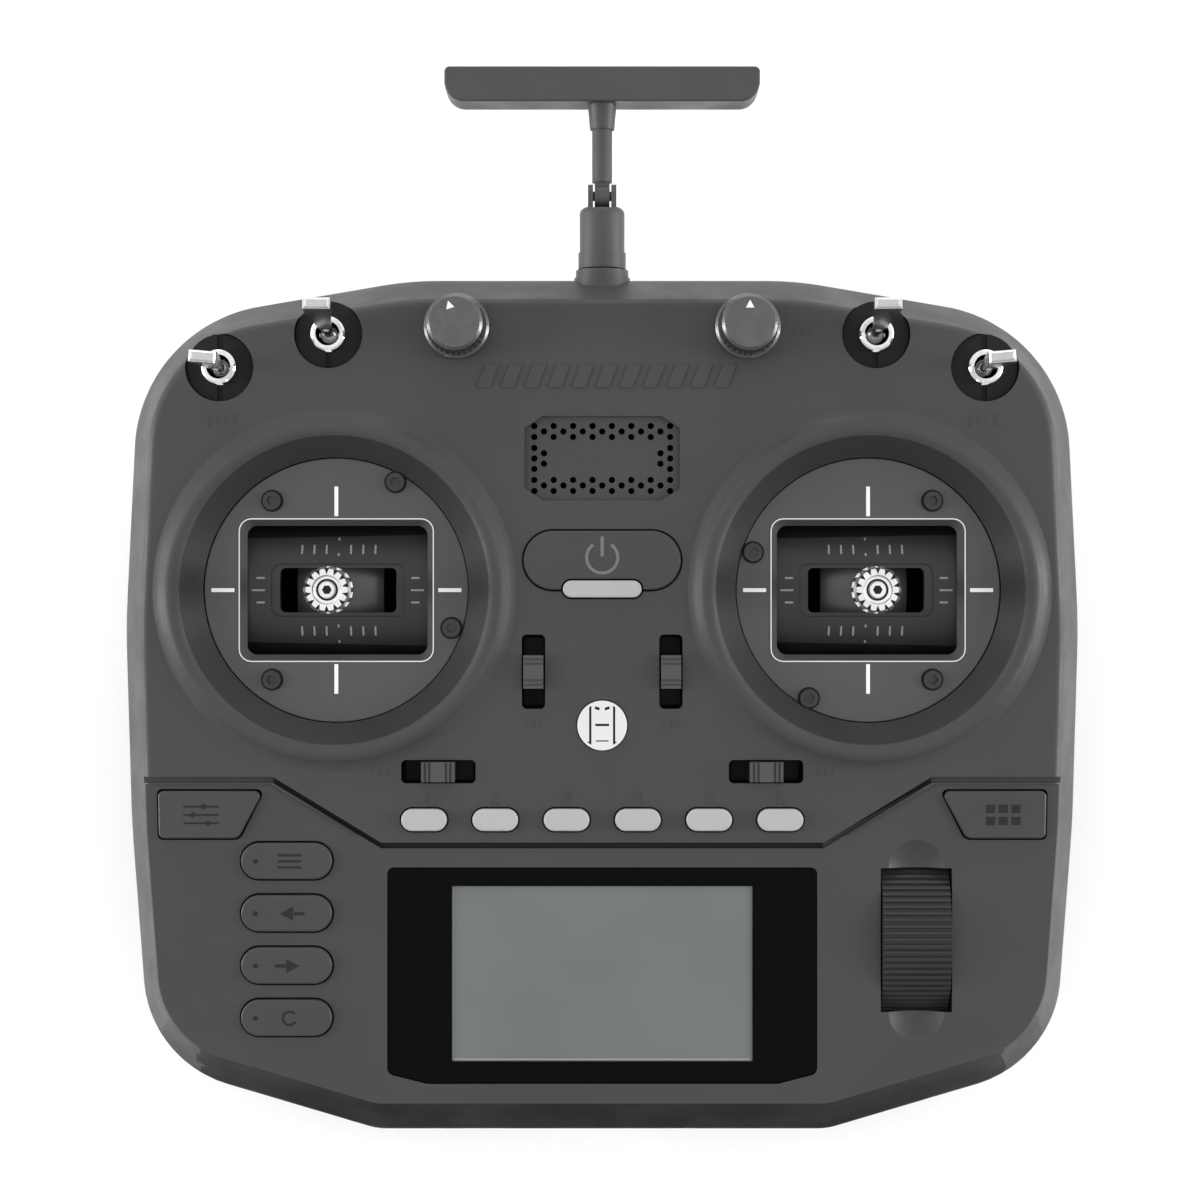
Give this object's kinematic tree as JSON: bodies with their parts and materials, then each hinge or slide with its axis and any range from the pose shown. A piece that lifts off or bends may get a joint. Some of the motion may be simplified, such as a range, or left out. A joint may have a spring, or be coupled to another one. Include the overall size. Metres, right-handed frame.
{
  "type": "radio transmitter controller",
  "caption": "Handheld radio control transmitter with two stick gimbals, toggle switches, knobs, trims, keys, a display, a scroll roller and a folding antenna.",
  "frame": {"origin": "under the middle of the controls, on the plane of the rear grips and pad that it rests on", "axes": "+Z out of the front face, +Y toward the antenna, +X to the right seen from the front"},
  "size_m": [0.1776, 0.1978, 0.077],
  "materials": {
    "case_plastic": "fine matte",
    "gimbal_plastic": "satin",
    "inner_black": "matte",
    "shaft_metal": "satin",
    "stick_metal": "machined",
    "screw_steel": "plain",
    "bright_metal": "polished",
    "knob_metal": "spun, anodised dark",
    "trim_plastic": "satin",
    "light_keys": "satin",
    "light_pipe": "satin translucent",
    "dark_keys": "satin",
    "roller_plastic": "ribbed",
    "grip_rubber": "matte",
    "board_green": "board",
    "window_gloss": "polished",
    "lcd_glass": "reflective display",
    "antenna_plastic": "satin"
  },
  "bodies": {
    "case": {"front_shell": "case_plastic", "rear_shell": "case_plastic", "gimbal_plates": "gimbal_plastic", "gimbal_housings": "inner_black", "gimbal_screws": "screw_steel", "gimbal_sensors": "inner_black", "speaker": "inner_black", "main_board": "board_green", "rf_board": "board_green", "display_window": "window_gloss", "lcd_panel": "lcd_glass", "power_light_bar": "light_pipe", "switch_bodies": "bright_metal", "switch_nuts": "inner_black", "knob_pots": "inner_black", "lanyard_hook": "bright_metal", "battery_pack": "inner_black", "case_screws": "screw_steel", "rear_grips": "grip_rubber", "antenna_socket": "antenna_plastic", "key_switches": "board_green", "io_ports": "bright_metal"},
    "left_cradle": {"left_gimbal_cradle": "gimbal_plastic"},
    "left_stick": {"left_stick_carrier": "shaft_metal", "left_stick_end": "stick_metal"},
    "left_outer_lever": {"left_outer_switch_lever": "bright_metal"},
    "left_inner_lever": {"left_inner_switch_lever": "bright_metal"},
    "left_dial": {"left_knob": "knob_metal"},
    "left_upright_rocker": {"left_upright_trim": "trim_plastic"},
    "left_lying_rocker": {"left_lying_trim": "trim_plastic"},
    "left_taper_key": {"left_taper_button": "dark_keys"},
    "left_shoulder_key": {"left_shoulder_button": "dark_keys"},
    "right_cradle": {"right_gimbal_cradle": "gimbal_plastic"},
    "right_stick": {"right_stick_carrier": "shaft_metal", "right_stick_end": "stick_metal"},
    "right_outer_lever": {"right_outer_switch_lever": "bright_metal"},
    "right_inner_lever": {"right_inner_switch_lever": "bright_metal"},
    "right_dial": {"right_knob": "knob_metal"},
    "right_upright_rocker": {"right_upright_trim": "trim_plastic"},
    "right_lying_rocker": {"right_lying_trim": "trim_plastic"},
    "right_taper_key": {"right_taper_button": "dark_keys"},
    "right_shoulder_key": {"right_shoulder_button": "dark_keys"},
    "function_key_1": {"function_button_1": "light_keys"},
    "function_key_2": {"function_button_2": "light_keys"},
    "function_key_3": {"function_button_3": "light_keys"},
    "function_key_4": {"function_button_4": "light_keys"},
    "function_key_5": {"function_button_5": "light_keys"},
    "function_key_6": {"function_button_6": "light_keys"},
    "menu_key_1": {"menu_button_1": "dark_keys"},
    "menu_key_2": {"menu_button_2": "dark_keys"},
    "menu_key_3": {"menu_button_3": "dark_keys"},
    "menu_key_4": {"menu_button_4": "dark_keys"},
    "power_key": {"power_button": "dark_keys"},
    "roller_frame": {"roller_carriage": "roller_plastic"},
    "roller_wheel": {"scroll_roller": "roller_plastic"},
    "antenna_swivel": {"antenna_barrel": "antenna_plastic"},
    "antenna_arm": {"antenna_stem": "antenna_plastic", "antenna_bar": "antenna_plastic"},
    "door": {"battery_door": "case_plastic"},
    "bay_cover": {"module_bay_cover": "case_plastic"}
  },
  "joints": [
    {"name": "left_stick_forward_back", "type": "hinge", "parent": "case", "child": "left_cradle", "pos_m": [-0.0485, 0.0205, 0.0342], "axis": [1, 0, 0], "range_deg": [-24, 24]},
    {"name": "left_stick_sideways", "type": "hinge", "parent": "left_cradle", "child": "left_stick", "pos_m": [-0.0485, 0.0205, 0.0342], "axis": [0, 1, 0], "range_deg": [-24, 24], "stiffness_Nm_per_rad": 0.06},
    {"name": "left_outer_switch", "type": "hinge", "parent": "case", "child": "left_outer_lever", "pos_m": [-0.0694, 0.0609, 0.0555], "axis": [0.9962, -0.0872, 0], "range_deg": [-13, 13]},
    {"name": "left_inner_switch", "type": "hinge", "parent": "case", "child": "left_inner_lever", "pos_m": [-0.04965, 0.0669, 0.0555], "axis": [1, 0, 0], "range_deg": [0, 18]},
    {"name": "left_knob_turn", "type": "hinge", "parent": "case", "child": "left_dial", "pos_m": [-0.0263, 0.0682, 0.06], "axis": [0, 0, 1], "range_deg": [-150, 150]},
    {"name": "left_upright_trim_rock", "type": "hinge", "parent": "case", "child": "left_upright_rocker", "pos_m": [-0.01246, 0.0057, 0.049], "axis": [1, 0, 0], "range_deg": [-8, 8], "stiffness_Nm_per_rad": 0.07},
    {"name": "left_lying_trim_rock", "type": "hinge", "parent": "case", "child": "left_lying_rocker", "pos_m": [-0.0297, -0.0124, 0.049], "axis": [0, 1, 0], "range_deg": [-8, 8], "stiffness_Nm_per_rad": 0.07},
    {"name": "left_taper_press", "type": "slide", "parent": "case", "child": "left_taper_key", "axis": [0, 0, -1], "range_m": [0, 0.0008], "stiffness_N_per_m": 1500},
    {"name": "left_shoulder_press", "type": "slide", "parent": "case", "child": "left_shoulder_key", "axis": [0.165, -0.9863, 0], "range_m": [0, 0.001], "stiffness_N_per_m": 1500},
    {"name": "right_stick_forward_back", "type": "hinge", "parent": "case", "child": "right_cradle", "pos_m": [0.0485, 0.0205, 0.0342], "axis": [1, 0, 0], "range_deg": [-24, 24], "stiffness_Nm_per_rad": 0.06},
    {"name": "right_stick_sideways", "type": "hinge", "parent": "right_cradle", "child": "right_stick", "pos_m": [0.0485, 0.0205, 0.0342], "axis": [0, 1, 0], "range_deg": [-24, 24], "stiffness_Nm_per_rad": 0.06},
    {"name": "right_outer_switch", "type": "hinge", "parent": "case", "child": "right_outer_lever", "pos_m": [0.0694, 0.0609, 0.0555], "axis": [0.9962, 0.0872, 0], "range_deg": [-13, 13]},
    {"name": "right_inner_switch", "type": "hinge", "parent": "case", "child": "right_inner_lever", "pos_m": [0.04965, 0.0669, 0.0555], "axis": [1, 0, 0], "range_deg": [0, 18]},
    {"name": "right_knob_turn", "type": "hinge", "parent": "case", "child": "right_dial", "pos_m": [0.0263, 0.0682, 0.06], "axis": [0, 0, 1], "range_deg": [-150, 150]},
    {"name": "right_upright_trim_rock", "type": "hinge", "parent": "case", "child": "right_upright_rocker", "pos_m": [0.01246, 0.0057, 0.049], "axis": [1, 0, 0], "range_deg": [-8, 8], "stiffness_Nm_per_rad": 0.07},
    {"name": "right_lying_trim_rock", "type": "hinge", "parent": "case", "child": "right_lying_rocker", "pos_m": [0.0297, -0.0124, 0.049], "axis": [0, 1, 0], "range_deg": [-8, 8], "stiffness_Nm_per_rad": 0.07},
    {"name": "right_taper_press", "type": "slide", "parent": "case", "child": "right_taper_key", "axis": [0, 0, -1], "range_m": [0, 0.0008], "stiffness_N_per_m": 1500},
    {"name": "right_shoulder_press", "type": "slide", "parent": "case", "child": "right_shoulder_key", "axis": [-0.165, -0.9863, 0], "range_m": [0, 0.001], "stiffness_N_per_m": 1500},
    {"name": "function_press_1", "type": "slide", "parent": "case", "child": "function_key_1", "axis": [0, 0, -1], "range_m": [0, 0.0008], "stiffness_N_per_m": 1500},
    {"name": "function_press_2", "type": "slide", "parent": "case", "child": "function_key_2", "axis": [0, 0, -1], "range_m": [0, 0.0008], "stiffness_N_per_m": 1500},
    {"name": "function_press_3", "type": "slide", "parent": "case", "child": "function_key_3", "axis": [0, 0, -1], "range_m": [0, 0.0008], "stiffness_N_per_m": 1500},
    {"name": "function_press_4", "type": "slide", "parent": "case", "child": "function_key_4", "axis": [0, 0, -1], "range_m": [0, 0.0008], "stiffness_N_per_m": 1500},
    {"name": "function_press_5", "type": "slide", "parent": "case", "child": "function_key_5", "axis": [0, 0, -1], "range_m": [0, 0.0008], "stiffness_N_per_m": 1500},
    {"name": "function_press_6", "type": "slide", "parent": "case", "child": "function_key_6", "axis": [0, 0, -1], "range_m": [0, 0.0008], "stiffness_N_per_m": 1500},
    {"name": "menu_press_1", "type": "slide", "parent": "case", "child": "menu_key_1", "axis": [0, 0, -1], "range_m": [0, 0.0008], "stiffness_N_per_m": 1500},
    {"name": "menu_press_2", "type": "slide", "parent": "case", "child": "menu_key_2", "axis": [0, 0, -1], "range_m": [0, 0.0008], "stiffness_N_per_m": 1500},
    {"name": "menu_press_3", "type": "slide", "parent": "case", "child": "menu_key_3", "axis": [0, 0, -1], "range_m": [0, 0.0008], "stiffness_N_per_m": 1500},
    {"name": "menu_press_4", "type": "slide", "parent": "case", "child": "menu_key_4", "axis": [0, 0, -1], "range_m": [0, 0.0008], "stiffness_N_per_m": 1500},
    {"name": "power_press", "type": "slide", "parent": "case", "child": "power_key", "axis": [0, 0, -1], "range_m": [0, 0.0008], "stiffness_N_per_m": 1500},
    {"name": "roller_press", "type": "slide", "parent": "case", "child": "roller_frame", "axis": [0, 0, -1], "range_m": [0, 0.0006], "stiffness_N_per_m": 3000},
    {"name": "roller_turn", "type": "hinge", "parent": "roller_frame", "child": "roller_wheel", "pos_m": [0.057, -0.043, 0.0418], "axis": [1, 0, 0], "continuous": true},
    {"name": "antenna_turn", "type": "hinge", "parent": "case", "child": "antenna_swivel", "pos_m": [0, 0.085, 0.044], "axis": [0, 1, 0], "range_deg": [-170, 170]},
    {"name": "antenna_fold", "type": "hinge", "parent": "antenna_swivel", "child": "antenna_arm", "pos_m": [0, 0.0942, 0.044], "axis": [-1, 0, 0], "range_deg": [0, 90]},
    {"name": "battery_door_slide", "type": "slide", "parent": "case", "child": "door", "axis": [0, -1, 0], "range_m": [0, 0.06]},
    {"name": "module_cover_lift", "type": "slide", "parent": "case", "child": "bay_cover", "axis": [0, 0, -1], "range_m": [0, 0.012]}
  ]
}
